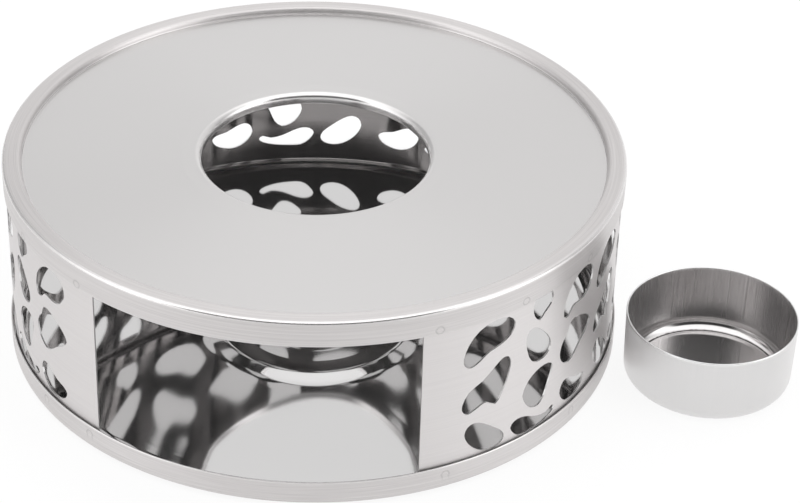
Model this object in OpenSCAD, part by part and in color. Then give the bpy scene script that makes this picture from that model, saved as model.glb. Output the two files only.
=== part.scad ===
// A round teapot warmer: a low drum of thin pressed steel with a pierced wall,
// and the small open cup that holds the candle, standing beside it.
// Millimetres, +Z up. The origin is the centre of the drum's base, on the table,
// and the door faces -Y.

/* [Sheet] */
// Thickness of the steel sheet of the drum
sheet = 0.4; // [0.3:0.05:0.6]
// Thickness of the candle cup's drawn wall
cup_sheet = 0.4; // [0.3:0.05:0.7]

/* [Top plate] */
// Outside diameter of the rim
rim_d = 150; // [130:1:180]
// Height of the whole drum
drum_h = 50.9; // [44:0.1:65]
// Width of the raised flat rim
rim_w = 4.3; // [3.6:0.1:7]
// Outside radius where the rim turns down into the skirt
rim_bend = 0.9; // [0.9:0.1:1.3]
// Depth of the plate below the rim
recess = 1.6; // [1.2:0.1:2.5]
// Bend radius where the plate meets the step of the rim
plate_bend = 0.7; // [0.4:0.1:0.9]
// Height of the skirt, from the rim's face to its lower edge
skirt_h = 6.5; // [4:0.1:8]
// How far the skirt leans in towards its lower edge
skirt_lean = 0.1; // [0.05:0.05:0.6]
// Diameter of the flame hole
hole_d = 55.2; // [40:0.2:80]
// Depth of the collar that is rolled down round the flame hole
collar_h = 2.8; // [2.6:0.1:5]
// Bend radius between the plate and the collar
collar_bend = 2.1; // [0.6:0.1:2.2]

/* [Base pan] */
// Height of the band's upper edge above the table
band_h = 7.2; // [5.5:0.1:9]
// Bend radius of the band's lower edge
band_bend = 0.8; // [0.5:0.1:1.2]
// Clear gap between the side wall and the band
band_gap = 0.4; // [0.2:0.1:1.2]
// Diameter of the flat in the middle of the seat, on which the drum stands
seat_flat_d = 29; // [20:1:30]
// Diameter of the seat's shallow dish
seat_d = 38.2; // [36:0.2:42]
// Rise of the dish, from the flat to its edge
dish_rise = 0.2; // [0.1:0.05:0.3]
// Diameter of the pressed ring's crest, which keeps the candle cup in the middle
crest_d = 48.6; // [47:0.2:54]
// Height of the ring's crest above the flat
crest_h = 0.6; // [0.5:0.05:0.9]
// Diameter of the ring's outer foot
ring_foot_d = 57.6; // [56:0.2:70]
// Height of the floor round the ring above the flat
floor_lift = 0.15; // [0:0.05:0.3]
// Height of the ledge that carries the side wall above the flat
ledge_h = 1.3; // [0.8:0.1:2]

/* [Side wall] */
// Clearance between the side wall and the skirt's lower edge
wall_gap = 0.1; // [0.1:0.05:0.6]
// Width of the door, as an angle round the drum
door_angle = 60.6; // [40:0.2:90]
// Plain wall between each side of the door and the nearest cut-out
door_margin = 10.5; // [6:0.5:20]
// Gap between one repeat of the pattern and the next
repeat_gap = 2.6; // [2:0.2:6]
// How far every cut-out reaches past its drawn outline
cut_room = 0.2; // [0:0.05:0.4]

/* [Candle cup] */
// Outside diameter of the cup's mouth
cup_d = 41.6; // [38:0.2:50]
// How much wider the mouth is than the foot, as a diameter
cup_draft = 0.8; // [0.4:0.1:2]
// Height of the cup
cup_h = 17.8; // [12:0.1:25]
// Bend radius between the cup's floor and its wall
cup_bend = 3.2; // [1:0.1:4.5]
// Space between the drum and the cup that stands beside it
cup_apart = 2.9; // [1:0.1:30]
// Where the cup stands round the drum, as an angle from +X
cup_turn = -1.7; // [-30:0.1:30]

/* [Hidden] */

BEND_STEPS = 5;         // straight pieces in each bend of a section
CURVE_STEPS = 2;        // straight pieces between two points of a cut-out
CUT_DEPTH = 3;          // how far a cutter reaches past both faces of the wall
LEDGE_W = 2.5;          // width of the ledge inside the side wall's foot
// The floor's bowl, as [share of the way from the ring's foot to the ledge, share of the rise]
BOWL = [[0.42, 0.02], [0.66, 0.15], [0.83, 0.33], [0.93, 0.58]];

rim_r = rim_d / 2;
rim_z = drum_h - sheet / 2;                     // middle of the sheet, at the rim
plate_z = rim_z - recess;                       // and at the recessed plate
step_r = rim_r - rim_w;
hole_r = hole_d / 2;

wall_r = rim_r - skirt_lean - sheet - wall_gap; // outside of the side wall
wall_z0 = ledge_h + sheet;                      // it stands on the pan's ledge
wall_z1 = drum_h - sheet;                       // and carries the rim
band_r = wall_r + band_gap + sheet;

cup_r = cup_d / 2;
cup_foot_r = cup_r - cup_draft / 2;
cup_place = band_r + cup_apart + cup_r;

// Pattern of the wall. One repeat is ten cut-outs, each a closed clockwise loop of points
// [along the wall, height above the band], for an opening PATTERN_H high.
PATTERN_H = 37;
PATTERN_W = 43;
CUTOUTS = [
    // long bean under the skirt
    [[-0.2, 28], [1, 31.4], [3.6, 34.4], [7.6, 35.8], [11.4, 35.3], [13.3, 33.2], [12.3, 30.5],
     [9.5, 28.9], [6.2, 27.9], [4, 26.3], [1.8, 25.2], [0.3, 26]],
    // lobed bean in the middle
    [[-0.1, 15], [1.5, 18.2], [5, 20.2], [8.2, 22.9], [10.3, 24.5], [11.8, 24.4], [12.6, 22.8],
     [12.2, 19.6], [10.6, 15.2], [8.8, 12.7], [6.4, 14.2], [4.4, 13.7], [1.6, 12.4], [0.3, 13.2]],
    // pebble on the band
    [[0.9, 6.6], [1.6, 8.4], [3.3, 9], [5.6, 8.1], [8.6, 5.9], [11, 3.8], [11.7, 2], [10.8, 0.7],
     [8.4, 0.1], [5.7, 0.7], [3.4, 2.3], [1.7, 4.4]],
    // notch that runs up behind the skirt
    [[19.2, 34.5], [19.8, 36.8], [21.8, 38.2], [24.2, 37.6], [25.4, 35.6], [25.1, 33.4],
     [23.1, 31.9], [21.4, 30.5], [19.7, 32.2]],
    // leaning oval
    [[17.5, 25.6], [17.7, 27.9], [18.9, 28.9], [20.6, 28.4], [23.2, 26], [25.2, 23.4], [25.6, 21],
     [24.6, 19.4], [22.4, 18.9], [20.3, 19.4], [18.6, 21.6]],
    // broad pebble, wider at the top
    [[17.3, 11], [18.1, 13.4], [19.9, 15.3], [22.6, 16.4], [25.4, 16.3], [27, 15], [26.5, 12.8],
     [25.6, 10.6], [24.4, 7.6], [22.6, 6], [20.2, 6.6], [18.4, 8.4]],
    // tadpole with a long tail
    [[14, 3.5], [15, 4.7], [17, 4.9], [19.4, 4.1], [22.4, 2.7], [25.6, 2.1], [27.8, 2.9],
     [28.7, 2.2], [27.6, 1.2], [24.6, 0.3], [20.6, -0.1], [17.4, 0], [15.3, 1.4]],
    // hooked bean under the skirt
    [[30.5, 28], [31.2, 31.2], [33.1, 33.8], [36, 35.7], [39.8, 35.9], [42.4, 34.4], [43, 31.6],
     [41.8, 29.3], [39.4, 27.9], [36.8, 27.8], [34.4, 27.9], [32.6, 26.2], [31, 26.2]],
    // large pebble with a shoulder
    [[30.1, 17.2], [31, 19.4], [32.6, 21], [33.3, 23], [35.2, 23.8], [38.6, 22.8], [41.8, 20.9],
     [43, 19], [41.4, 17.2], [38.6, 15.4], [36.2, 13.4], [33.8, 12.4], [31.6, 13.4], [30.3, 15.2]],
    // drop on the band
    [[31, 4.8], [31.6, 6.8], [33, 7.5], [35.2, 6.9], [38, 5.5], [40.8, 4.9], [42, 3.9], [41, 2.1],
     [38.8, 1], [36.6, 0.6], [34.2, 1.1], [32.2, 2.6]],
];

open_z = band_h;                                // the pattern's foot
open_h = drum_h - skirt_h - band_h;             // the wall that shows
wall_arc = (360 - door_angle) * PI / 180 * wall_r;
repeats = floor((wall_arc - 2 * door_margin + repeat_gap) / (PATTERN_W + repeat_gap));
pitch = (wall_arc - 2 * door_margin - PATTERN_W) / max(repeats - 1, 1);
degrees_per_mm = 180 / PI / wall_r;

// The unit vector along v
function unit(v) = v / norm(v);
// The turn from angle a to angle b, the short way round
function turn(a, b) = let (d = b - a) d > 180 ? d - 360 : d < -180 ? d + 360 : d;
// The arc of radius r that replaces corner b of the line a, b, c
function bend(a, b, c, r) =
    let (u = unit(a - b), v = unit(c - b), half = acos(u * v) / 2,
         centre = b + unit(u + v) * r / sin(half),
         from = b + u * r / tan(half) - centre, to = b + v * r / tan(half) - centre,
         start = atan2(from.y, from.x), sweep = turn(start, atan2(to.y, to.x)))
    [for (i = [0:BEND_STEPS]) let (angle = start + sweep * i / BEND_STEPS)
        centre + r * [cos(angle), sin(angle)]];
// The way from point i to point k of a line
function way(line, i, k) = [line[k].x - line[i].x, line[k].y - line[i].y];
// How much of each straight part beside it the bend at corner i of a line takes
function taken(line, i) =
    i <= 0 || i >= len(line) - 1 || line[i].z == undef ? 0
    : line[i].z / tan(acos(unit(way(line, i, i - 1)) * unit(way(line, i, i + 1))) / 2);
// The share of its radius that the bend at corner i keeps, so that it and the next bend
// both fit on the straight part between them
function kept(line, i) =
    let (own = taken(line, i))
    min(1, 0.98 * norm(way(line, i, i - 1)) / (own + taken(line, i - 1)),
        0.98 * norm(way(line, i, i + 1)) / (own + taken(line, i + 1)));
// A line of [radius, height, bend radius] with each inner corner bent to its radius, where
// the line gives one
function bent(line) =
    let (point = [for (p = line) [p.x, p.y]], last = len(line) - 1)
    [point[0], for (i = [1:last - 1]) each line[i].z == undef ? [point[i]]
         : bend(point[i - 1], point[i], point[i + 1], line[i].z * kept(line, i)),
     point[last]];
// The points of a line, moved sideways by d
function beside(line, d) =
    let (last = len(line) - 1)
    [for (i = [0:last])
        let (before = unit(line[max(i, 1)] - line[max(i, 1) - 1]),
             after = unit(line[min(i + 1, last)] - line[min(i + 1, last) - 1]),
             along = unit(before + after), side = [-along.y, along.x])
        line[i] + side * d / (side * [-before.y, before.x])];
// The section of a sheet of thickness t whose middle runs along a line
function section(line, t) =
    let (left = beside(line, t / 2), right = beside(line, -t / 2), last = len(line) - 1)
    concat(left, [for (i = [last:-1:0]) right[i]]);
// A smooth closed curve through points (a Catmull-Rom curve)
function smooth(p) =
    let (n = len(p))
    [for (i = [0:n - 1], k = [0:CURVE_STEPS - 1])
        let (a = p[(i + n - 1) % n], b = p[i], c = p[(i + 1) % n], d = p[(i + 2) % n],
             t = k / CURVE_STEPS)
        (2 * b + (c - a) * t + (2 * a - 5 * b + 4 * c - d) * t * t
         + (3 * b - a - 3 * c + d) * t * t * t) / 2];

// A clockwise closed loop of points, each moved outwards by d
function grown(p, d) =
    let (n = len(p))
    [for (i = [0:n - 1]) let (along = unit(p[(i + 1) % n] - p[(i + n - 1) % n]))
        p[i] + d * [-along.y, along.x]];

// A pressed sheet that is round about the Z axis
module pressed(line, t) {
    rotate_extrude($fn = 120) polygon(section(bent(line), t));
}

// The lid of the drum: collar, plate, step, rim and skirt, pressed from one sheet
module top_plate() {
    color("gainsboro") pressed([
        [hole_r + sheet / 2, plate_z + sheet / 2 - collar_h],
        [hole_r + sheet / 2, plate_z, collar_bend],
        [step_r, plate_z, plate_bend],
        [step_r, rim_z, rim_bend - sheet / 2],
        [rim_r - sheet / 2, rim_z, rim_bend - sheet / 2],
        [rim_r - skirt_lean - sheet / 2, drum_h - skirt_h]], sheet);
}

// The tray under the drum: dished seat for the cup, low ring, bowed floor, ledge and band
module base_pan() {
    flat_z = sheet / 2;
    floor_r = ring_foot_d / 2;
    ledge_r = wall_r - sheet - LEDGE_W;
    rise = ledge_h - floor_lift;
    color("silver") pressed([
        [0, flat_z],
        [seat_flat_d / 2, flat_z, 20],
        [seat_d / 2, flat_z + dish_rise, 2],
        [crest_d / 2, flat_z + crest_h, 6],
        [floor_r, flat_z + floor_lift, 20],
        for (p = BOWL) [floor_r + p.x * (ledge_r - floor_r), flat_z + floor_lift + p.y * rise],
        [ledge_r, flat_z + ledge_h],
        [band_r - sheet / 2, flat_z + ledge_h, band_bend - sheet / 2],
        [band_r - sheet / 2, band_h]], sheet);
}

// One cut-out's cutter, pointing out through the wall at its own middle
module cutter(points) {
    along = [for (p = points) p.x];
    middle = (min(along) + max(along)) / 2;
    outline = [for (p = smooth(grown(points, cut_room)))
        [p.x - middle, open_z + p.y * open_h / PATTERN_H]];
    rotate([0, 0, middle * degrees_per_mm]) translate([0, -wall_r + sheet / 2, 0])
        rotate([90, 0, 0]) linear_extrude(height = CUT_DEPTH, center = true) polygon(outline);
}

// The pierced strip, bent round from one side of the door to the other
module side_wall() {
    color("lightgray") difference() {
        rotate([0, 0, -90 + door_angle / 2]) rotate_extrude(angle = 360 - door_angle, $fn = 120)
            translate([wall_r - sheet, wall_z0]) square([sheet, wall_z1 - wall_z0]);
        for (k = [0:repeats - 1])
            rotate([0, 0, door_angle / 2 + (door_margin + k * pitch) * degrees_per_mm])
                for (points = CUTOUTS) cutter(points);
    }
}

// The open cup for the candle, drawn from one disc of sheet
module candle_cup() {
    floor_z = cup_sheet / 2;
    color("whitesmoke") rotate([0, 0, cup_turn]) translate([cup_place, 0, 0]) pressed([
        [0, floor_z],
        [cup_foot_r - cup_sheet / 2, floor_z, cup_bend],
        [cup_r - cup_sheet / 2, cup_h]], cup_sheet);
}

base_pan();
side_wall();
top_plate();
candle_cup();
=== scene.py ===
# %% [markdown]
# # A teapot warmer in thin pressed steel
# The object is a low drum of stainless sheet with a pierced wall. A tea light burns inside
# it in a small open cup, and the teapot stands on the lid, over the flame hole. The real
# thing has four pieces, and so has the frame: the pan, the wall, the lid and the cup.
# The frame comes first, because every size below is read from it.

# %% Load the frame
import math

import bpy
import numpy as np
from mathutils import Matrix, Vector


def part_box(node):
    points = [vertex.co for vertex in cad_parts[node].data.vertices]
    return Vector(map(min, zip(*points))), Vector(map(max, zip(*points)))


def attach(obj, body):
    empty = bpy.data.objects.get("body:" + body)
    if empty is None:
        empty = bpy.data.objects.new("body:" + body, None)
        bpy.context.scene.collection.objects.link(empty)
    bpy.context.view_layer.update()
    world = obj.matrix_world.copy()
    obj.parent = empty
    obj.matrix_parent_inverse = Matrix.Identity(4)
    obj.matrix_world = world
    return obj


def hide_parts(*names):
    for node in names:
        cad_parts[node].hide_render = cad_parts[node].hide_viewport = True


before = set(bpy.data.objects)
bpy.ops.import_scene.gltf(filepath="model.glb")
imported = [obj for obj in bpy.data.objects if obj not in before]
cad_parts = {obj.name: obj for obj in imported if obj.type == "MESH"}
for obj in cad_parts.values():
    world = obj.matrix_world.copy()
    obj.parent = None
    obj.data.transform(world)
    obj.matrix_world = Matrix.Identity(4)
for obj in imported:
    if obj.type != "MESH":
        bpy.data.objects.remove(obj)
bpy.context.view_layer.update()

MM = 0.001
scene = bpy.context.scene
print("nodes:", sorted(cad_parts))

# %% [markdown]
# ## Camera
# The photograph was taken from well above the rim, a little to the right of the door,
# with a long lens. The camera stands where a fit to the drum's round edges puts it, and
# it leans slightly, as the photograph does.

# %% Camera
CAMERA_PLACE = Vector((102.90, -507.36, 360.22)) * MM
CAMERA_AIM = Vector((22.12, -4.85, 26.44)) * MM
CAMERA_LEAN = math.radians(1.75)
CAMERA_TURN = 11.48     # degrees round the drum, from the door towards +X
LENS = 112.5            # millimetres, on a sensor 36 mm wide

camera_data = bpy.data.cameras.new("camera")
camera_data.lens = LENS
camera_data.sensor_width = 36.0
camera_data.clip_start = 0.01
camera = bpy.data.objects.new("camera", camera_data)
scene.collection.objects.link(camera)
camera.location = CAMERA_PLACE
camera.rotation_euler = (CAMERA_AIM - CAMERA_PLACE).to_track_quat("-Z", "Y").to_euler()
camera.rotation_euler.rotate_axis("Z", CAMERA_LEAN)
scene.camera = camera
print("camera aims at", tuple(round(c, 4) for c in CAMERA_AIM))

# %% [markdown]
# ## Sizes
# The drum stands round the Z axis. Its outer sizes come from the boxes of the packed
# pieces. The bends and the low forms of the pan are named here in millimetres, because a
# box doesn't show them.

# %% Sizes from the frame
lid_low, lid_high = (np.array(corner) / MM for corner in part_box("top_plate"))
pan_high = np.array(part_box("base_pan")[1]) / MM
cup_low, cup_high = (np.array(corner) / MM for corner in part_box("candle_cup"))
RIM_R, DRUM_H, SKIRT_Z = lid_high[0], lid_high[2], lid_low[2]
BAND_R, BAND_H = pan_high[0], pan_high[2]
CUP_R, CUP_H = (cup_high[0] - cup_low[0]) / 2, cup_high[2]
CUP_X, CUP_Y = (cup_low[:2] + cup_high[:2]) / 2

SHEET = 0.4
CUP_SHEET = 0.4
print("rim", RIM_R.round(2), "band", BAND_R.round(2), "height", DRUM_H.round(2))
print("cup at", CUP_X.round(2), CUP_Y.round(2), "radius", CUP_R.round(2))

# %% [markdown]
# ## How a sheet is pressed round
# Three of the four pieces are discs of sheet that were pressed or drawn into a round
# shape. Each could be lathed from a hand-drawn outline. It is more exact to say where the
# middle of the sheet runs, to bend that line's corners, to give the line the thickness of
# the sheet, and to turn the section round the axis, which is how the press works too.

# %% Lines and sections
def bend_corner(before, at, after, radius, steps):
    """The arc that replaces the corner at. It touches both straight parts, so its centre
    lies on the line that halves the corner, radius / sin(half the angle) away."""
    u = (before - at) / np.linalg.norm(before - at)
    v = (after - at) / np.linalg.norm(after - at)
    half = np.arccos(np.clip(u @ v, -1, 1)) / 2
    centre = at + (u + v) / np.linalg.norm(u + v) * radius / np.sin(half)
    start, end = at + u * radius / np.tan(half) - centre, at + v * radius / np.tan(half) - centre
    first = np.arctan2(start[1], start[0])
    sweep = (np.arctan2(end[1], end[0]) - first + np.pi) % (2 * np.pi) - np.pi
    angle = first + sweep * np.linspace(0, 1, steps + 1)
    return centre + radius * np.stack([np.cos(angle), np.sin(angle)], 1)


def bent(line, steps=8):
    """A line of (radius, height, bend radius) with each inner corner replaced by an arc."""
    point = np.array([corner[:2] for corner in line], float)
    parts = [bend_corner(point[i - 1], point[i], point[i + 1], line[i][2], steps)
             for i in range(1, len(point) - 1)]
    return np.concatenate([point[:1], *parts, point[-1:]])


def distances(line):
    """The way along the line to each of its points: the running sum of the steps' lengths."""
    return np.concatenate([[0], np.cumsum(np.linalg.norm(np.diff(line, axis=0), axis=1))])


def points_at(line, way, wanted):
    """The points of the line at the wanted distances along it, where way has its own."""
    return np.stack([np.interp(wanted, way, line[:, k]) for k in (0, 1)], -1)


def finer(line, step):
    """The same line with extra points between its own, no more than a step apart."""
    way = distances(line)
    return points_at(line, way, np.unique(np.concatenate([way, np.arange(0, way[-1], step)]).round(5)))


def finer_at(line, height, reach, step):
    """The same line with extra points on its outermost upright part, near a height."""
    way = distances(line)
    more = np.arange(0, way[-1], step)
    radius, level = points_at(line, way, more).T
    more = more[(np.abs(level - height) < reach) & (radius > line[:, 0].max() - 0.5)]
    return points_at(line, way, np.unique(np.concatenate([way, more]).round(3)))


def beside(line, distance):
    """The line moved sideways: each point goes along the mean of its two steps' normals,
    far enough that both straight parts move by the distance."""
    step = np.diff(line, axis=0)
    step /= np.linalg.norm(step, axis=1)[:, None]
    before, after = np.concatenate([step[:1], step]), np.concatenate([step, step[-1:]])
    mean = before + after
    mean /= np.linalg.norm(mean, axis=1)[:, None]
    side = np.stack([-mean[:, 1], mean[:, 0]], 1)
    normal = np.stack([-before[:, 1], before[:, 0]], 1)
    return line + side * (distance / np.sum(side * normal, 1))[:, None]


def rounded_end(line, thickness, steps=4):
    """The half circle that ends a sheet, from its left face round to its right face."""
    along = (line[-1] - line[-2]) / np.linalg.norm(line[-1] - line[-2])
    side = np.array([-along[1], along[0]])
    angle = np.pi * np.arange(1, steps) / steps
    return (line[-1] - along * thickness / 2
            + thickness / 2 * (np.cos(angle)[:, None] * side + np.sin(angle)[:, None] * along))


def shorter(line, length):
    """The line without its last length, which the rounded end takes."""
    way = distances(line)
    keep = way < way[-1] - length - 0.02
    return np.concatenate([line[keep], [points_at(line, way, way[-1] - length)]])


print("a bent corner has", len(bent([(0, 0), (5, 0, 1), (5, 5)])) - 2, "points")

# %% [markdown]
# The turned piece is one closed grid: its rows run up the left face of the section and
# back along the right face, and its columns go round. A disc starts on the axis, where
# the first and the last row shrink to one point each, so those two poles are single
# points with a fan of triangles. Four masks go with every point, for the materials: how
# far it is from a cut edge, whether it lies on the inner face, whether it is brushed, and
# whether it belongs to the ring of a weld, which the materials darken as painted shade.

# %% Turn a section round the axis
def sheet_section(line, thickness):
    """The closed outline of a sheet whose middle runs along the line, with its distance
    from the nearest free end and its face: 0 left, 1 right. A line that starts on the
    axis has one free end, and any other line has two."""
    on_axis = line[0, 0] == 0
    body = shorter(line, thickness / 2)
    if not on_axis:
        body = shorter(body[::-1], thickness / 2)[::-1]
    way = distances(body)
    left, right = beside(body, thickness / 2), beside(body, -thickness / 2)
    far = rounded_end(np.concatenate([body, line[-1:]]), thickness)
    free = way[-1] - way if on_axis else np.minimum(way, way[-1] - way)
    parts = [left, far, right[::-1]]
    ends = [free, np.zeros(len(far)), free[::-1]]
    faces = [np.zeros(len(left)), np.linspace(0, 1, len(far)), np.ones(len(right))]
    if not on_axis:
        near = rounded_end(np.concatenate([body[::-1], line[:1]]), thickness)
        parts.append(near)
        ends.append(np.zeros(len(near)))
        faces.append(np.linspace(1, 0, len(near)))
    return np.concatenate(parts), np.concatenate(ends), np.concatenate(faces), on_axis


def turned(name, line, thickness, angles, move=None, centre=(0, 0)):
    """A section turned round a vertical axis: a point at radius r and height z goes to
    (r cos a, r sin a, z) for every angle a, after move(r, z, a) has shifted r and z."""
    outline, free, face, on_axis = sheet_section(line, thickness)
    radius = np.maximum(outline[:, :1], 0) + 0 * angles
    height = outline[:, 1:] + 0 * angles
    if move is not None:
        radius, height = move(radius, height, angles[None], face[:, None])
    grid = np.stack([centre[0] + radius * np.cos(angles), centre[1] + radius * np.sin(angles),
                     height], -1)
    rows, columns = grid.shape[:2]
    i = np.arange(rows if not on_axis else rows - 1)[:, None]
    j = np.arange(columns)[None]
    k, l = (i + 1) % rows, (j + 1) % columns
    quads = np.stack([i * columns + j, k * columns + j, k * columns + l, i * columns + l], -1)
    quads = quads.reshape(-1, 4)
    points = grid.reshape(-1, 3)
    mask = np.repeat(np.stack([free, face, 0 * face], 1), columns, 0)
    triangles = np.zeros((0, 3), int)
    if on_axis:
        around = np.arange(columns)
        after = (around + 1) % columns
        body = quads[columns:-columns]
        last = (rows - 1) * columns
        triangles = np.concatenate([
            np.stack([0 * around, columns + around, columns + after], 1),
            np.stack([last - columns + around, 0 * around + last, last - columns + after], 1)])
        used = np.unique(np.concatenate([body.ravel(), triangles.ravel()]))
        place = np.full(len(points), -1)
        place[used] = np.arange(len(used))
        quads, triangles, points, mask = place[body], place[triangles], points[used], mask[used]
    return solid(name, points, quads, triangles), mask


def solid(name, points, quads, triangles):
    """A mesh object from arrays of points in millimetres and of corner numbers."""
    mesh = bpy.data.meshes.new(name)
    corners = np.concatenate([quads.ravel(), triangles.ravel()])
    starts = np.concatenate([np.arange(len(quads)) * 4,
                             len(quads) * 4 + np.arange(len(triangles)) * 3])
    mesh.vertices.add(len(points))
    mesh.vertices.foreach_set("co", (points * MM).ravel())
    mesh.loops.add(len(corners))
    mesh.loops.foreach_set("vertex_index", corners)
    mesh.polygons.add(len(starts))
    mesh.polygons.foreach_set("loop_start", starts)
    mesh.polygons.foreach_set("use_smooth", np.ones(len(starts), bool))
    mesh.update()
    mesh.validate()
    made = bpy.data.objects.new(name, mesh)
    scene.collection.objects.link(made)
    return made


def places(piece):
    """The points of a mesh in millimetres, one row each."""
    place = np.zeros(len(piece.data.vertices) * 3)
    piece.data.vertices.foreach_get("co", place)
    return place.reshape(-1, 3) / MM


def enclosed(piece):
    """The volume inside a closed mesh in cubic millimetres, positive where faces point
    out: a sixth of the sum of each triangle's corner a times (b cross c)."""
    piece.data.calc_loop_triangles()
    corner = np.zeros(len(piece.data.loop_triangles) * 3, int)
    piece.data.loop_triangles.foreach_get("vertices", corner)
    a, b, c = places(piece)[corner.reshape(-1, 3)].transpose(1, 0, 2)
    return float(np.sum(a * np.cross(b, c)) / 6)


def masks(piece, mask, mark=0):
    """Keeps the masks of each point on the mesh, as a colour named finish. Its
    alpha is the ring of a weld, which the materials darken as painted shade."""
    kept = piece.data.attributes.new("finish", "FLOAT_COLOR", "POINT")
    kept.data.foreach_set("color", np.column_stack([mask, np.zeros(len(mask)) + mark]).ravel())
    print(piece.name, "points", len(mask), "faces", len(piece.data.polygons),
          "volume", round(enclosed(piece)), "mm3")


# %% [markdown]
# ## Spot welds
# The skirt and the band are held to the wall by spot welds, which show as small round
# marks in the photograph. A bump in the material would be flat from the side, so each one
# is pressed into the mesh: a shallow cup and a ring of about 2 mm round it, a few
# hundredths of a millimetre deep. The grid is finer there. Soft light hardly shows such a
# dent, so the ring is a mask too, and the material darkens it with painted shade that
# stands in for the shade of the dent.

# %% Welds and angles
SKIRT_WELDS = np.radians(np.concatenate([[33.1], np.linspace(50.7, 326.1, 16)]) - 90)
BAND_WELDS = np.radians(np.concatenate([[35.1, 65.6], np.linspace(84, 314.5, 13), [327.8]]) - 90)
WELD_R = 0.95           # radius of the ring of a mark
RING_W, RING_DEPTH = 0.2, 0.06
DENT_R, DENT_DEPTH = 0.7, 0.03
WELD_ROWS = (1.3, 0.25)     # reach and step of the finer rows at a weld


def ramp(value, start, end):
    """0 before start, 1 after end, and a straight line between them."""
    return np.clip((value - start) / (end - start), 0, 1)


def round_angles(count, welds=(), reach=1.25, dense=11):
    """Even angles round the drum, with extra ones within reach of each weld."""
    extra = np.linspace(-reach, reach, dense)[None] / RIM_R
    welds = np.asarray(welds, float).reshape(-1, 1)
    angle = np.concatenate([np.arange(count) * 2 * np.pi / count, (welds + extra).ravel()])
    angle = np.unique((angle % (2 * np.pi)).round(6))
    return angle[np.concatenate([[True], np.diff(angle) > 0.0015])]


def weld_dent(radius, height, angle, welds, weld_z):
    """The inward depth of the weld marks: a shallow cup with a ring pressed round it,
    both of them bells of the distance from the nearest weld's middle."""
    turn = (angle[..., None] - welds + np.pi) % (2 * np.pi) - np.pi
    away = np.min(np.abs(turn), -1) * radius
    distance = np.hypot(away, height - weld_z)
    return (DENT_DEPTH * np.exp(-(distance / DENT_R) ** 4)
            + RING_DEPTH * np.exp(-((distance - WELD_R) / RING_W) ** 2))


def weld_mark(piece, welds, weld_z):
    """How strongly each point belongs to a weld's ring, 0 to 1, on the outermost face. The
    materials darken these rings as painted shade.
    """
    x, y, z = places(piece).T
    radius = np.hypot(x, y)
    dent = weld_dent(radius, z, np.arctan2(y, x), welds, weld_z)
    return ramp(dent, DENT_DEPTH, RING_DEPTH) * (radius > radius.max() - 0.3)


print(len(SKIRT_WELDS), "welds in the skirt,", len(BAND_WELDS), "in the band")

# %% [markdown]
# ## Lid
# One disc gives the plate, the raised rim round it and the skirt that reaches down over
# the wall. The hole's edge was rolled down, and it pulled the plate with it: the last few
# millimetres dip softly before the bend of the collar. The mask for worn edges takes in
# the rim's outer bend and the collar's bend, which hands and pots polish most, and its
# pale colour there is also a painted highlight on the bends. It is weak at the skirt's
# lower edge, which lies against the wall.

# %% Lid
RIM_W = 4.3
RIM_BEND = 0.9
RECESS = 1.6
PLATE_BEND = 0.7
SKIRT_LEAN = 0.1
HOLE_R = 27.6
COLLAR_H = 2.8
COLLAR_BEND = 1.4
DIP_W = 5.0             # how far from the collar the plate starts to dip
DIP = 0.08              # how deep it has dipped where the bend starts
LID_STEP = 0.45         # between the rows of the grid
EDGE_WORN = 0.7         # how far wear reaches from a cut edge or a bend; on a bend its pale colour is also a painted highlight
SKIRT_UNWORN = 0.45     # added to that distance at the skirt's lower edge

rim_z = DRUM_H - SHEET / 2
plate_z = rim_z - RECESS
step_r = RIM_R - RIM_W
SKIRT_WELD_Z = SKIRT_Z + 1.1
lid_line = finer(bent([
    (HOLE_R + SHEET / 2, plate_z + SHEET / 2 - COLLAR_H),
    (HOLE_R + SHEET / 2, plate_z - DIP, COLLAR_BEND),
    (HOLE_R + DIP_W, plate_z, 20),
    (step_r, plate_z, PLATE_BEND),
    (step_r, rim_z, RIM_BEND - SHEET / 2),
    (RIM_R - SHEET / 2, rim_z, RIM_BEND - SHEET / 2),
    (RIM_R - SHEET / 2 - SKIRT_LEAN, SKIRT_Z)]), LID_STEP)
# The flat of the plate needs few rows, so every sixth stays.
flat_plate = (lid_line[:, 0] > HOLE_R + DIP_W + 2) & (lid_line[:, 0] < step_r - 2)
lid_line = lid_line[~flat_plate | (np.arange(len(lid_line)) % 6 == 0)]
lid_line = finer_at(lid_line, SKIRT_WELD_Z, *WELD_ROWS)


def lid_move(radius, height, angle, face):
    """Presses the skirt's weld marks inwards."""
    skirt = ramp(radius, RIM_R - 1.2, RIM_R - 0.8)
    return radius - skirt * weld_dent(radius, height, angle, SKIRT_WELDS, SKIRT_WELD_Z), height


lid, lid_mask = turned("lid", lid_line, SHEET, round_angles(240, SKIRT_WELDS), lid_move)
x, y, lid_z = places(lid).T
lid_r = np.hypot(x, y)
lid_mask[:, 2] = ramp(lid_r, step_r - 0.5, step_r - 0.1)
# The rim's outer bend and the collar's bend join the worn edges: their brighter colour is partly wear
# and partly a painted highlight on the bends.
from_bend = np.hypot(lid_r - RIM_R + 0.3, lid_z - DRUM_H + 0.3)
from_hole = np.hypot(lid_r - HOLE_R - 0.7, lid_z - DRUM_H + RECESS + 0.7)
from_edge = lid_mask[:, 0] + SKIRT_UNWORN * (lid_z < SKIRT_Z + 1.8)
lid_mask[:, 0] = np.minimum(from_edge, np.minimum(from_bend, np.maximum(from_hole - 0.3, 0.4)))
masks(lid, lid_mask, weld_mark(lid, SKIRT_WELDS, SKIRT_WELD_Z))

# %% [markdown]
# ## Pan
# The pan is the drum's floor. Its middle is a shallow dish with a low ring round it, which
# keeps the cup under the hole. Outside the ring the floor was drawn a little hollow, as the
# reflections in it show: on the door's side it rises towards the wall, and it is twisted by
# a few tenths of a millimetre, higher to one side than to the other. At the back it is
# level, and the band ends a little lower there. Polished steel shows such things.

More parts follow.
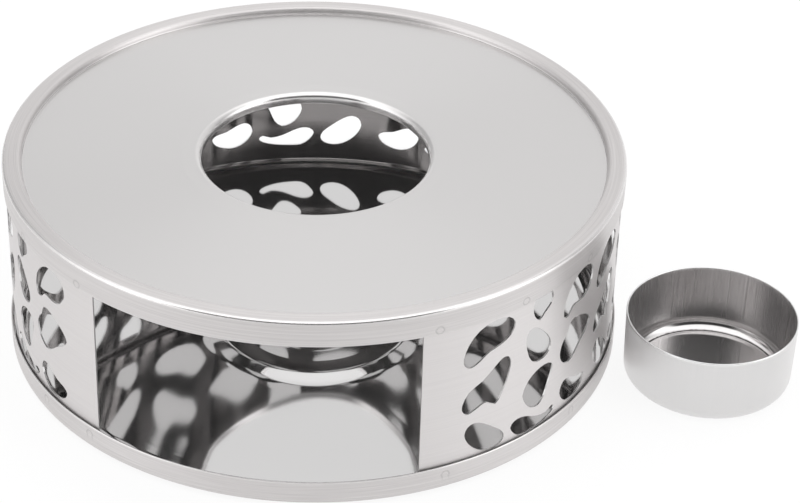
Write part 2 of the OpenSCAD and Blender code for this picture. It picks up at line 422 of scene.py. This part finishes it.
# %% Pan
PAN_STEP = 1.2
FLOOR_LIFT = 0.15
LEDGE_RISE = 0.7        # from the floor round the ring up to the ledge at the wall
BAND_BEND = 1.3
HOLLOW = 0.00061        # how strongly the hollow is curved, per millimetre
HOLLOW_FROM, HOLLOW_TO = 31, 48     # the radii where the hollow is level with its start
STEEP, STEEP_FROM = 0.00115, 60     # the steeper part near the wall, and its radius
FLOOR_R = 72            # where the floor stops rising
FRONT_LEDGE = (71.5, 73.3)          # the radii between which the floor meets the ledge
BACK_LEDGE = (72, 73.1)
BACK_RISE = 0.4         # how high the level floor at the back lies
BACK_RAMP = (34, 52)
BAND_DROP = 0.6         # how much lower the band's top is at the back
TWIST = 0.0122          # millimetres up or down for each millimetre outwards
TWIST_FROM, TWIST_SOFT = 33, 1.5
TWIST_FADE = (69.5, 73.3)
PAN_UNWORN = 0.35       # added to the distance from the band's cut edge
CAMERA_SIDE = math.radians(CAMERA_TURN - 90)
BAND_WELD_Z = 4.9

flat_z = SHEET / 2
pan_line = finer(bent([
    (0, flat_z),
    (14.5, flat_z, 20),                 # the edge of the seat's flat
    (19.1, flat_z + 0.18, 2),           # the edge of the dish
    (24.3, flat_z + 0.61, 6),           # the ring's crest
    (28.8, flat_z + 0.17, 30),          # the ring's foot
    (66, flat_z + FLOOR_LIFT, 20),
    (BAND_R - SHEET / 2, flat_z + FLOOR_LIFT, BAND_BEND - SHEET / 2),
    (BAND_R - SHEET / 2, BAND_H - LEDGE_RISE)]), PAN_STEP)
pan_line = finer_at(pan_line, BAND_WELD_Z, *WELD_ROWS)


def eased(value, start, end):
    """0 before start, 1 after end, and the smooth curve t t (3 - 2 t) between them."""
    t = ramp(value, start, end)
    return t * t * (3 - 2 * t)


def at_back(angle):
    """0 on the camera's side of the floor and 1 at the far side, with an eased change."""
    return eased(-np.cos(angle - CAMERA_SIDE), 0.45, 0.8)


def floor_rise(radius, angle):
    """The hollow floor: the parabola HOLLOW (r - HOLLOW_FROM) (r - HOLLOW_TO) round the
    ring, a steeper one near the wall, and the level ledge that carries the wall. At the
    back the floor is level as far as the ledge."""
    inside = np.clip(radius, HOLLOW_FROM, FLOOR_R)
    near_wall = np.clip(inside - STEEP_FROM, 0, None)
    rise = HOLLOW * (inside - HOLLOW_FROM) * (inside - HOLLOW_TO) + STEEP * near_wall ** 2
    front = rise + (LEDGE_RISE - rise) * eased(radius, *FRONT_LEDGE)
    level = BACK_RISE * eased(radius, *BACK_RAMP)
    back = level + (LEDGE_RISE - BACK_RISE) * eased(radius, *BACK_LEDGE)
    return front + (back - front) * at_back(angle)


def pan_move(radius, height, angle, face):
    """Adds the hollow and the twist to the floor, and presses in the band's welds. The
    twist grows outwards by TWIST, after a soft start: s ln(1 + exp((r - TWIST_FROM) / s)).
    The underside stays on or above the table."""
    band = ramp(radius, BAND_R - 0.9, BAND_R - 0.6)
    grown = TWIST_SOFT * np.log1p(np.exp((radius - TWIST_FROM) / TWIST_SOFT))
    twist = TWIST * grown * (1 - eased(radius, *TWIST_FADE))
    twist = twist * (1 - at_back(angle)) * np.sin(2 * (angle - CAMERA_SIDE))
    height = height + floor_rise(radius, angle) - twist
    height = height - BAND_DROP * at_back(angle) * band * eased(height, 3, 6)
    dent = weld_dent(radius, height, angle, BAND_WELDS, BAND_WELD_Z)
    return radius - band * dent, np.maximum(height, SHEET * (1 - face) * 0.5)


pan, pan_mask = turned("pan", pan_line, SHEET, round_angles(200, BAND_WELDS), pan_move)
pan_mask[:, 0] += PAN_UNWORN
pan_mask[:, 1] = 1 - pan_mask[:, 1]
pan_mask[:, 2] = 1 - pan_mask[:, 1]
masks(pan, pan_mask, weld_mark(pan, BAND_WELDS, BAND_WELD_Z))

# %% [markdown]
# ## Cup
# The cup is drawn from one small disc, so it has no seam. Its wall opens by less than half
# a millimetre, and a wide soft bend joins it to the floor, inside and out.

# %% Cup
CUP_BEND = 3.2
CUP_DRAFT = 0.4         # how much the foot's radius is smaller than the mouth's
CUP_STEP = 0.5

cup_line = finer(bent([
    (0, CUP_SHEET / 2),
    (CUP_R - CUP_DRAFT - CUP_SHEET / 2, CUP_SHEET / 2, CUP_BEND),
    (CUP_R - CUP_SHEET / 2, CUP_H)], 16), CUP_STEP)
cup, cup_mask = turned("cup", cup_line, CUP_SHEET, round_angles(320), centre=(CUP_X, CUP_Y))
cup_mask[:, 1] = 1 - cup_mask[:, 1]
masks(cup, cup_mask)

# %% [markdown]
# ## Steel effects
# All four pieces are the same steel with different finishes, so the effects are built once
# as node groups. The first is a grain of long fine lines: a noise that changes slowly
# round the axis and quickly across it. Radius plus height is its second direction, which
# makes rings on a flat face and level lines on an upright one, with no seam.

# %% Node helpers
def place_node(tree, kind, **settings):
    """Adds a node of a kind to a tree and gives it its settings."""
    made = tree.nodes.new(kind)
    for name, value in settings.items():
        setattr(made, name, value)
    return made


def feed(tree, socket, value):
    """Links another node's socket into this one, or sets a plain value on it."""
    if isinstance(value, bpy.types.NodeSocket):
        tree.links.new(value, socket)
    else:
        socket.default_value = value


def reckon(tree, operation, a, b=0.0, clamp=False):
    """The result socket of a Math node with one or two inputs."""
    made = place_node(tree, "ShaderNodeMath", operation=operation, use_clamp=clamp)
    feed(tree, made.inputs[0], a)
    feed(tree, made.inputs[1], b)
    return made.outputs[0]


def between(tree, amount, low, high):
    """The number that lies between low and high where amount goes from 0 to 1."""
    made = place_node(tree, "ShaderNodeMix", data_type="FLOAT")
    feed(tree, made.inputs[0], amount)
    feed(tree, made.inputs[2], low)
    feed(tree, made.inputs[3], high)
    return made.outputs[0]


def blended(tree, amount, first, second):
    """The colour between first and second where amount goes from 0 to 1."""
    made = place_node(tree, "ShaderNodeMix", data_type="RGBA")
    feed(tree, made.inputs[0], amount)
    feed(tree, made.inputs[6], first)
    feed(tree, made.inputs[7], second)
    return made.outputs[2]


def open_group(name, inputs, outputs):
    """A new shader node group with named number inputs and outputs."""
    tree = bpy.data.node_groups.new(name, "ShaderNodeTree")
    for label, value in inputs.items():
        tree.interface.new_socket(label, in_out="INPUT", socket_type="NodeSocketFloat")
        tree.interface.items_tree[label].default_value = value
    for label in outputs:
        tree.interface.new_socket(label, in_out="OUTPUT", socket_type="NodeSocketFloat")
    return tree, tree.nodes.new("NodeGroupInput"), tree.nodes.new("NodeGroupOutput")


def use_group(tree, group, **values):
    """Places a node group in a material with its own values."""
    made = place_node(tree, "ShaderNodeGroup", node_tree=group)
    for label, value in values.items():
        feed(tree, made.inputs[label.replace("_", " ")], value)
    return made


print("helpers ready")

# %% Line grain
line_grain, start, end = open_group("line grain", {
    "Centre X": 0.0, "Centre Y": 0.0, "Round": 3.0, "Across": 4000.0, "Detail": 3.0}, ["Lines"])
spot = place_node(line_grain, "ShaderNodeTexCoord")
split = place_node(line_grain, "ShaderNodeSeparateXYZ")
line_grain.links.new(spot.outputs["Object"], split.inputs[0])
x = reckon(line_grain, "SUBTRACT", split.outputs["X"], start.outputs["Centre X"])
y = reckon(line_grain, "SUBTRACT", split.outputs["Y"], start.outputs["Centre Y"])
away = reckon(line_grain, "SQRT", reckon(
    line_grain, "ADD", reckon(line_grain, "MULTIPLY", x, x), reckon(line_grain, "MULTIPLY", y, y)))
away = reckon(line_grain, "MAXIMUM", away, 0.0001)
place = place_node(line_grain, "ShaderNodeCombineXYZ")
round_x = reckon(line_grain, "MULTIPLY", reckon(line_grain, "DIVIDE", x, away), start.outputs["Round"])
round_y = reckon(line_grain, "MULTIPLY", reckon(line_grain, "DIVIDE", y, away), start.outputs["Round"])
line_grain.links.new(round_x, place.inputs[0])
line_grain.links.new(round_y, place.inputs[1])
across = reckon(line_grain, "ADD", away, split.outputs["Z"])
line_grain.links.new(reckon(line_grain, "MULTIPLY", across, start.outputs["Across"]), place.inputs[2])
noise = place_node(line_grain, "ShaderNodeTexNoise")
noise.inputs["Scale"].default_value = 1.0
noise.inputs["Roughness"].default_value = 0.6
line_grain.links.new(place.outputs[0], noise.inputs["Vector"])
line_grain.links.new(start.outputs["Detail"], noise.inputs["Detail"])
line_grain.links.new(noise.outputs["Fac"], end.inputs["Lines"])
print("line grain:", len(line_grain.nodes), "nodes")

# %% [markdown]
# The second effect is wear. Cut edges of sheet are deburred and rubbed by hands, so they are
# smoother and brighter than the faces, but not evenly. The group turns the distance from
# the edge into a mask and breaks it up with a noise. On the lid the distance also counts
# from the rim's and the collar's bends, and the brighter colour there is also a painted
# highlight. The third is the satin of pickled sheet: a fine cloud that has no direction,
# with a slower one for stains and fingermarks.

# %% Edge wear and satin
edge_wear, start, end = open_group("edge wear", {"Distance": 0.0, "Reach": 0.8}, ["Wear"])
spot = place_node(edge_wear, "ShaderNodeTexCoord")
noise = place_node(edge_wear, "ShaderNodeTexNoise")
noise.inputs["Scale"].default_value = 700.0
noise.inputs["Detail"].default_value = 3.0
edge_wear.links.new(spot.outputs["Object"], noise.inputs["Vector"])
near = reckon(edge_wear, "SUBTRACT", 1.0, reckon(
    edge_wear, "DIVIDE", start.outputs["Distance"], start.outputs["Reach"]), clamp=True)
broken = reckon(edge_wear, "MULTIPLY", near, reckon(
    edge_wear, "ADD", noise.outputs["Fac"], 0.45), clamp=True)
edge_wear.links.new(broken, end.inputs["Wear"])

satin, start, end = open_group("satin", {"Grain": 2500.0, "Clouds": 18.0}, ["Fine", "Slow"])
spot = place_node(satin, "ShaderNodeTexCoord")
for label, output, detail in (("Grain", "Fine", 2.0), ("Clouds", "Slow", 4.0)):
    noise = place_node(satin, "ShaderNodeTexNoise")
    noise.inputs["Detail"].default_value = detail
    satin.links.new(spot.outputs["Object"], noise.inputs["Vector"])
    satin.links.new(start.outputs[label], noise.inputs["Scale"])
    satin.links.new(noise.outputs["Fac"], end.inputs[output])
print("groups:", [group.name for group in bpy.data.node_groups])


# %% Start of a steel
def steel(name, metal=1.0):
    """A new metal material: its tree, its shader and a bump that feeds the shader. The
    part that isn't metal stands for the haze of fine scratches and dust."""
    material = bpy.data.materials.new(name)
    material.use_nodes = True
    tree = material.node_tree
    shader = tree.nodes["Principled BSDF"]
    shader.inputs["Metallic"].default_value = metal
    bump = place_node(tree, "ShaderNodeBump")
    bump.inputs["Distance"].default_value = 0.00001
    tree.links.new(bump.outputs[0], shader.inputs["Normal"])
    return material, tree, shader, bump


def finish_masks(tree):
    """The masks of a pressed piece: distance from an edge, inner face, brushed, weld. The weld
    ring's mask gives painted shade; on the lid the distance also reaches the bends, whose pale
    colour is partly a painted highlight.
    """
    kept = place_node(tree, "ShaderNodeAttribute", attribute_name="finish")
    split = place_node(tree, "ShaderNodeSeparateXYZ")
    tree.links.new(kept.outputs["Vector"], split.inputs[0])
    return split.outputs[0], split.outputs[1], split.outputs[2], kept.outputs["Alpha"]


def stretched(tree, shader, amount, turned_by, centre=(0, 0)):
    """Stretches the gloss of a face that has fine parallel lines: along the way round the
    axis where turned_by is 0, and across it where turned_by is a quarter."""
    spot = place_node(tree, "ShaderNodeTexCoord")
    arm = place_node(tree, "ShaderNodeVectorMath", operation="SUBTRACT")
    arm.inputs[1].default_value = (centre[0] * MM, centre[1] * MM, 0)
    tree.links.new(spot.outputs["Object"], arm.inputs[0])
    around = place_node(tree, "ShaderNodeVectorMath", operation="CROSS_PRODUCT")
    around.inputs[0].default_value = (0, 0, 1)
    tree.links.new(arm.outputs[0], around.inputs[1])
    tree.links.new(around.outputs[0], shader.inputs["Tangent"])
    shader.inputs["Anisotropic"].default_value = amount
    shader.inputs["Anisotropic Rotation"].default_value = turned_by


def grey(level, warm=0.0):
    """A grey a little towards red, as a colour with its alpha."""
    return (level, level * (1 - warm), level * (1 - 1.15 * warm), 1.0)


def handled(tree, tone, wear, mark):
    """A tone that is brighter on worn edges and darker on the rings of the welds. The pale
    grey is wear, and on the lid's rim and collar bends partly a painted highlight; the dark grey on
    the weld rings is painted shade for their dents.
    """
    tone = blended(tree, wear, tone, grey(0.86, 0.02))
    # The dark grey on the weld rings is painted shade for their dents.
    return blended(tree, reckon(tree, "MULTIPLY", mark, 0.5), tone, grey(0.3, 0.03))


BRIGHT_SIDE = grey(0.68, 0.01)      # the side of the sheet that faces into the drum
print("the bright side mirrors", BRIGHT_SIDE[0], "of the light")

# %% [markdown]
# ## Satin lid
# The plate is satin, the rim and the skirt are brushed round, and the underside is the
# bright side of the sheet, so it mirrors the inside of the drum. Fine parallel lines smear
# what a steel mirrors at right angles to themselves, so the gloss is stretched that way.

# %% Satin steel
satin_steel, tree, shader, bump = steel("satin_steel", 0.95)
free, inner, brushed, mark = finish_masks(tree)
lines = use_group(tree, line_grain, Round=2.5, Across=5000.0).outputs["Lines"]
cloud = use_group(tree, satin)
# On the lid the worn edges include the rim's and the collar's bends, whose pale colour is partly a
# painted highlight.
wear = use_group(tree, edge_wear, Distance=free, Reach=EDGE_WORN).outputs["Wear"]
tone = blended(tree, cloud.outputs["Slow"], grey(0.655, 0.02), grey(0.675, 0.018))
brush = blended(tree, lines, grey(0.53, 0.04), grey(0.81, 0.03))
tone = handled(tree, blended(tree, brushed, tone, brush), wear, mark)
feed(tree, shader.inputs["Base Color"], blended(tree, inner, tone, BRIGHT_SIDE))
rough = between(tree, cloud.outputs["Fine"], 0.2, 0.26)
rough = between(tree, brushed, rough, between(tree, lines, 0.44, 0.34))
rough = between(tree, wear, rough, 0.12)
feed(tree, shader.inputs["Roughness"], between(tree, inner, rough, 0.05))
height = between(tree, brushed, reckon(tree, "MULTIPLY", cloud.outputs["Fine"], 0.35), lines)
feed(tree, bump.inputs["Height"], between(tree, inner, height, 0.5))
bump.inputs["Strength"].default_value = 0.35
stretched(tree, shader, 0.8, 0.25)
lid.data.materials.append(satin_steel)
print("satin steel:", len(tree.nodes), "nodes")

# %% [markdown]
# ## Polished pan
# The floor is a mirror with a slight, uneven haze, as polishing leaves it. The band
# outside it is brushed like the skirt.

# %% Polished steel
polished_steel, tree, shader, bump = steel("polished_steel", 0.965)
free, inner, _, mark = finish_masks(tree)
lines = use_group(tree, line_grain, Round=4.0, Across=4500.0).outputs["Lines"]
cloud = use_group(tree, satin, Clouds=45.0)
wear = use_group(tree, edge_wear, Distance=free, Reach=EDGE_WORN).outputs["Wear"]
tone = handled(tree, blended(tree, lines, grey(0.54, 0.04), grey(0.82, 0.03)), wear, mark)
feed(tree, shader.inputs["Base Color"], blended(tree, inner, tone, BRIGHT_SIDE))
rough = between(tree, wear, between(tree, lines, 0.44, 0.34), 0.2)
haze = between(tree, cloud.outputs["Slow"], 0.02, 0.06)
feed(tree, shader.inputs["Roughness"], between(tree, inner, rough, haze))
feed(tree, bump.inputs["Height"], between(tree, inner, lines, 0.5))
bump.inputs["Strength"].default_value = 0.35
stretched(tree, shader, 0.8, 0.25)
pan.data.materials.append(polished_steel)
print("polished steel:", len(tree.nodes), "nodes")

# %% [markdown]
# ## Brushed wall
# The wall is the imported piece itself, whose shape is right. Its faces are told apart by
# the way they look: away from the axis, towards it, or neither, which is the sheared edge
# of a cut-out. Outside it is brushed along the strip, inside it is the bright side, and
# the sheared edges are pale.

# %% Wall steel
wall_steel, tree, shader, bump = steel("wall_steel", 0.96)
facing = place_node(tree, "ShaderNodeNewGeometry")
spot = place_node(tree, "ShaderNodeTexCoord")
outward = place_node(tree, "ShaderNodeVectorMath", operation="MULTIPLY")
outward.inputs[1].default_value = (1, 1, 0)
tree.links.new(spot.outputs["Object"], outward.inputs[0])
unit = place_node(tree, "ShaderNodeVectorMath", operation="NORMALIZE")
tree.links.new(outward.outputs[0], unit.inputs[0])
dot = place_node(tree, "ShaderNodeVectorMath", operation="DOT_PRODUCT")
tree.links.new(facing.outputs["True Normal"], dot.inputs[0])
tree.links.new(unit.outputs[0], dot.inputs[1])
outer = dot.outputs["Value"]
inner = reckon(tree, "LESS_THAN", outer, -0.5)
sheared = reckon(tree, "LESS_THAN", reckon(tree, "ABSOLUTE", outer), 0.6)
lines = use_group(tree, line_grain, Round=2.0, Across=3500.0).outputs["Lines"]
tone = blended(tree, lines, grey(0.69, 0.035), grey(0.76, 0.03))
streaks = use_group(tree, line_grain, Round=1.2, Across=2200.0, Detail=5.0).outputs["Lines"]
tone = blended(tree, inner, tone, blended(tree, streaks, grey(0.48, 0.035), grey(0.68, 0.03)))
feed(tree, shader.inputs["Base Color"], blended(tree, sheared, tone, grey(0.78, 0.01)))
rough = between(tree, lines, 0.44, 0.36)
rough = between(tree, inner, rough, between(tree, streaks, 0.12, 0.03))
stretched(tree, shader, 0.8, 0.25)
feed(tree, shader.inputs["Roughness"], between(tree, sheared, rough, 0.3))
feed(tree, bump.inputs["Height"], lines)
bump.inputs["Strength"].default_value = 0.2
side_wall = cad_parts["side_wall"]
side_wall.data.materials.clear()
side_wall.data.materials.append(wall_steel)
print("wall steel:", len(tree.nodes), "nodes on", len(side_wall.data.polygons), "faces")

# %% [markdown]
# ## Drawn cup
# Drawing the cup leaves upright marks, strong inside and faint outside. They are the same
# line grain with its two directions exchanged: many changes round, few across. The
# punch pressed the floor and its bend smooth, so the marks fade there and the gloss rises.

# %% Cup steel
MARKS_FROM, MARKS_RISE = 0.6, 3.0   # the marks fade in from this height, over this much more

cup_steel, tree, shader, bump = steel("cup_steel", 0.9)
free, inner, _, _ = finish_masks(tree)
marks = use_group(tree, line_grain, Centre_X=CUP_X * MM, Centre_Y=CUP_Y * MM, Round=130.0,
                  Across=45.0, Detail=3.0).outputs["Lines"]
cloud = use_group(tree, satin, Clouds=60.0)
wear = use_group(tree, edge_wear, Distance=free, Reach=0.5).outputs["Wear"]
marks = reckon(tree, "ADD", reckon(tree, "MULTIPLY", marks, 2.2), -0.6, clamp=True)
spot = place_node(tree, "ShaderNodeTexCoord")
split = place_node(tree, "ShaderNodeSeparateXYZ")
tree.links.new(spot.outputs["Object"], split.inputs[0])
above = reckon(tree, "SUBTRACT", split.outputs["Z"], MARKS_FROM * MM)
upright = reckon(tree, "DIVIDE", above, MARKS_RISE * MM, clamp=True)
marks = between(tree, upright, 0.8, marks)
outside = blended(tree, cloud.outputs["Slow"], grey(0.81, 0.012), grey(0.86, 0.01))
inside = blended(tree, marks, grey(0.44, 0.03), grey(0.8, 0.02))
tone = blended(tree, inner, outside, inside)
feed(tree, shader.inputs["Base Color"], blended(tree, wear, tone, grey(0.85, 0.0)))
inside_rough = between(tree, upright, 0.07, between(tree, marks, 0.3, 0.14))
rough = between(tree, inner, between(tree, marks, 0.52, 0.44), inside_rough)
feed(tree, shader.inputs["Roughness"], between(tree, wear, rough, 0.18))
feed(tree, bump.inputs["Height"], marks)
bump.inputs["Strength"].default_value = 0.5
stretched(tree, shader, 0.9, 0.0, (CUP_X, CUP_Y))
cup.data.materials.append(cup_steel)
print("cup steel:", len(tree.nodes), "nodes")

# %% [markdown]
# ## Riding and replacing
# Nothing on this object moves, so the three pressed pieces ride on one body. They stand
# for the imported ones that they are finer copies of, which are hidden.

# %% Pieces and their nodes
for piece, node, slot in ((lid, "top_plate", "satin_steel"), (pan, "base_pan", "polished_steel"),
                          (cup, "candle_cup", "cup_steel")):
    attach(piece, "root")
    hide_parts(node)
    print(piece.name, "stands for", node)

# %% [markdown]
# ## Studio
# Steel shows its surroundings, so the studio matters as much as the metal. The light is a
# white dome, brighter overhead, with two wide soft boxes at the sides of the camera and
# darker gaps behind them. Round the camera the room is dark, which the bends of the pan
# and of the cup mirror as dark stripes. The camera itself sees plain white.

# %% Dome
RAMP_TOP = 3.0          # the level that the ramp's white stands for
OVERHEAD = 1.52
DARK = 0.024            # the room round the camera


def smooth_step(tree, value, start, end):
    """0 before start, 1 after end, eased between them, as a Map Range node."""
    made = place_node(tree, "ShaderNodeMapRange", interpolation_type="SMOOTHSTEP")
    feed(tree, made.inputs["Value"], value)
    made.inputs["From Min"].default_value = start
    made.inputs["From Max"].default_value = end
    return made.outputs[0]


scene.view_settings.view_transform = "Standard"
world = bpy.data.worlds.new("studio")
scene.world = world
world.use_nodes = True
tree = world.node_tree
tree.nodes.clear()
spot = place_node(tree, "ShaderNodeTexCoord")
split = place_node(tree, "ShaderNodeSeparateXYZ")
tree.links.new(spot.outputs["Generated"], split.inputs[0])
turn = reckon(tree, "ARCTAN2", split.outputs["X"], reckon(tree, "MULTIPLY", split.outputs["Y"], -1.0))
share = reckon(tree, "ADD", reckon(tree, "DIVIDE", turn, 2 * math.pi), 0.5 - CAMERA_TURN / 360)
share = reckon(tree, "FRACT", share)
round_ramp = place_node(tree, "ShaderNodeValToRGB")
round_ramp.color_ramp.interpolation = "B_SPLINE"
DOME = [(-180, 0.96), (-170, 0.96), (-151, 0.6), (-114, 0.4), (-66, 2.08), (-20, 0.72), (20, 0.72),
        (66, 2.08), (86, 1.76), (101, 0.32), (116, 0.8), (150, 0.92), (170, 0.96), (180, 0.96)]
while len(round_ramp.color_ramp.elements) < len(DOME):
    round_ramp.color_ramp.elements.new(0.5)
for element, (turned_by, level) in zip(round_ramp.color_ramp.elements, DOME):
    element.position = turned_by / 360 + 0.5
    element.color = (*[level / RAMP_TOP] * 3, 1)
tree.links.new(share, round_ramp.inputs[0])
level = reckon(tree, "MULTIPLY", round_ramp.outputs[0], RAMP_TOP)
level = between(tree, smooth_step(tree, split.outputs["Z"], 0.6, 0.95), level, OVERHEAD)
from_camera = reckon(tree, "ABSOLUTE", reckon(tree, "SUBTRACT", share, 0.5))
from_height = reckon(tree, "ABSOLUTE", reckon(tree, "SUBTRACT", split.outputs["Z"], 0.55))
dark = 1.0
for away, near, far in ((from_camera, 42 / 360, 60 / 360), (from_height, 0.17, 0.27)):
    within = reckon(tree, "SUBTRACT", 1.0, smooth_step(tree, away, near, far))
    dark = reckon(tree, "MULTIPLY", dark, within)
level = between(tree, dark, level, DARK)
seen = place_node(tree, "ShaderNodeLightPath")
level = between(tree, seen.outputs["Is Camera Ray"], level, 1.0)
light = place_node(tree, "ShaderNodeBackground")
light.inputs["Color"].default_value = (1, 1, 1, 1)
feed(tree, light.inputs["Strength"], level)
target = place_node(tree, "ShaderNodeOutputWorld")
tree.links.new(light.outputs[0], target.inputs["Surface"])
print("dome with", len(DOME), "levels round")

# %% Floor
FLOOR_HALF = 3.0
PAPER = 0.9
GLOW, GLOW_SHARE = 1.03, 0.85       # an even white, and its share in what is seen or mirrored
floor_mesh = bpy.data.meshes.new("floor")
floor_mesh.from_pydata([(-FLOOR_HALF, -FLOOR_HALF, 0), (FLOOR_HALF, -FLOOR_HALF, 0),
                        (FLOOR_HALF, FLOOR_HALF, 0), (-FLOOR_HALF, FLOOR_HALF, 0)], [], [(0, 1, 2, 3)])
floor = bpy.data.objects.new("floor", floor_mesh)
scene.collection.objects.link(floor)
paper = bpy.data.materials.new("paper")
paper.use_nodes = True
tree = paper.node_tree
tree.nodes.clear()
matt = place_node(tree, "ShaderNodeBsdfDiffuse")
matt.inputs["Color"].default_value = (PAPER, PAPER, PAPER, 1)
glow = place_node(tree, "ShaderNodeEmission")
glow.inputs["Strength"].default_value = GLOW
seen = place_node(tree, "ShaderNodeLightPath")
direct = reckon(tree, "MAXIMUM", seen.outputs["Is Camera Ray"], reckon(
    tree, "MAXIMUM", seen.outputs["Is Glossy Ray"], seen.outputs["Is Transmission Ray"]))
mixed = place_node(tree, "ShaderNodeMixShader")
feed(tree, mixed.inputs[0], reckon(tree, "MULTIPLY", direct, GLOW_SHARE))
tree.links.new(matt.outputs[0], mixed.inputs[1])
tree.links.new(glow.outputs[0], mixed.inputs[2])
target = place_node(tree, "ShaderNodeOutputMaterial")
tree.links.new(mixed.outputs[0], target.inputs["Surface"])
floor.data.materials.append(paper)
print("floor", 2 * FLOOR_HALF, "m wide")
